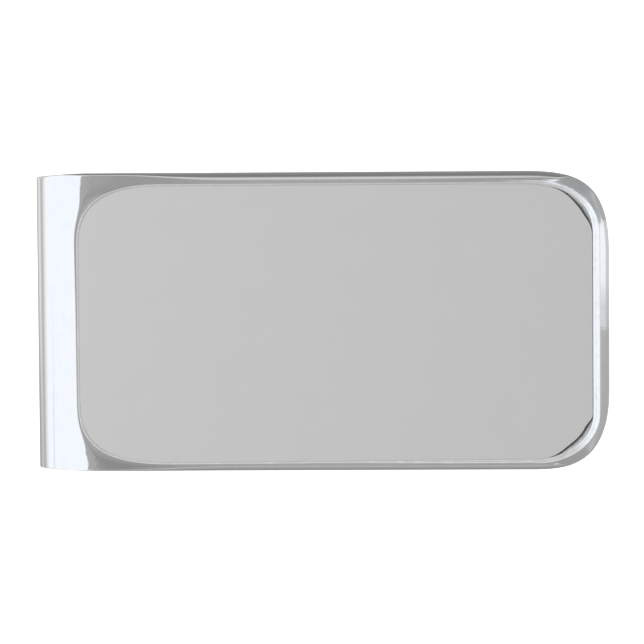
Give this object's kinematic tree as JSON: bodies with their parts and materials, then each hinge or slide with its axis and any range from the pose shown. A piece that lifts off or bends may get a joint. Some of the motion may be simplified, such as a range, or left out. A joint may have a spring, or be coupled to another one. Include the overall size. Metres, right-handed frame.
{
  "type": "money clip",
  "caption": "Folded metal money clip: a flat front plate with a recessed satin insert, and a springy back leaf that pinches folded notes against it.",
  "frame": {"origin": "centre of the underside of the clip's overall box, with the decorated face up and the clip lying on its back leaf", "axes": "+X from the fold to the free end, +Y across the strip, +Z out of the decorated face"},
  "size_m": [0.0492, 0.0254, 0.0073],
  "materials": {
    "silver_plate": "mirror-polished silver plating over brass",
    "insert_metal": "die-cut sheet, bright cut edge",
    "adhesive": "clear acrylic transfer tape",
    "satin_print": "satin, plain light grey print"
  },
  "bodies": {
    "back": {"back_leaf": "silver_plate"},
    "front": {"front_plate": "silver_plate", "insert_plate": "insert_metal", "adhesive_film": "adhesive", "face_film": "satin_print"}
  },
  "joints": [
    {"name": "leaf_flex", "type": "hinge", "parent": "back", "child": "front", "pos_m": [-0.02455, 0, 0.00365], "axis": [0, -1, 0], "range_deg": [0, 7], "stiffness_Nm_per_rad": 10, "springref_deg": -0.69}
  ]
}
